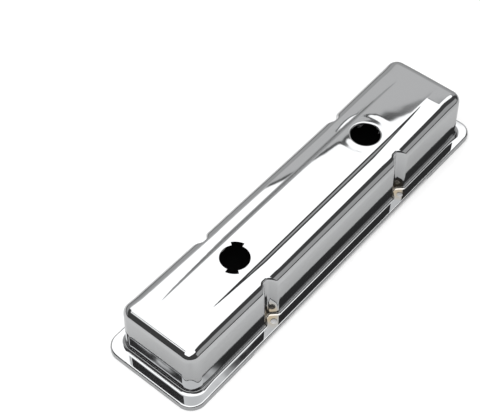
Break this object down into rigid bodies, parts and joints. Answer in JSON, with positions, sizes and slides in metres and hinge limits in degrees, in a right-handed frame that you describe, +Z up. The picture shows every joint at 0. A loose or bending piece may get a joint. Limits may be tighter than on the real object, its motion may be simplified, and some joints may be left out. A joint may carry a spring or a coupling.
{
  "type": "engine valve cover",
  "caption": "Chromed pressed-steel valve cover: long box-shaped dome with a raised top panel, bolt recesses, oil-fill and breather holes, and a lipped flange.",
  "frame": {"origin": "under the middle of the cover, on the plane that the end lips stand on", "axes": "+X along the cover towards the breather hole, +Y across it, +Z up out of the dome"},
  "size_m": [0.47, 0.117, 0.0667],
  "materials": {
    "chrome": "polished chrome plate"
  },
  "bodies": {
    "root": {"valve_cover": "chrome"}
  },
  "joints": []
}
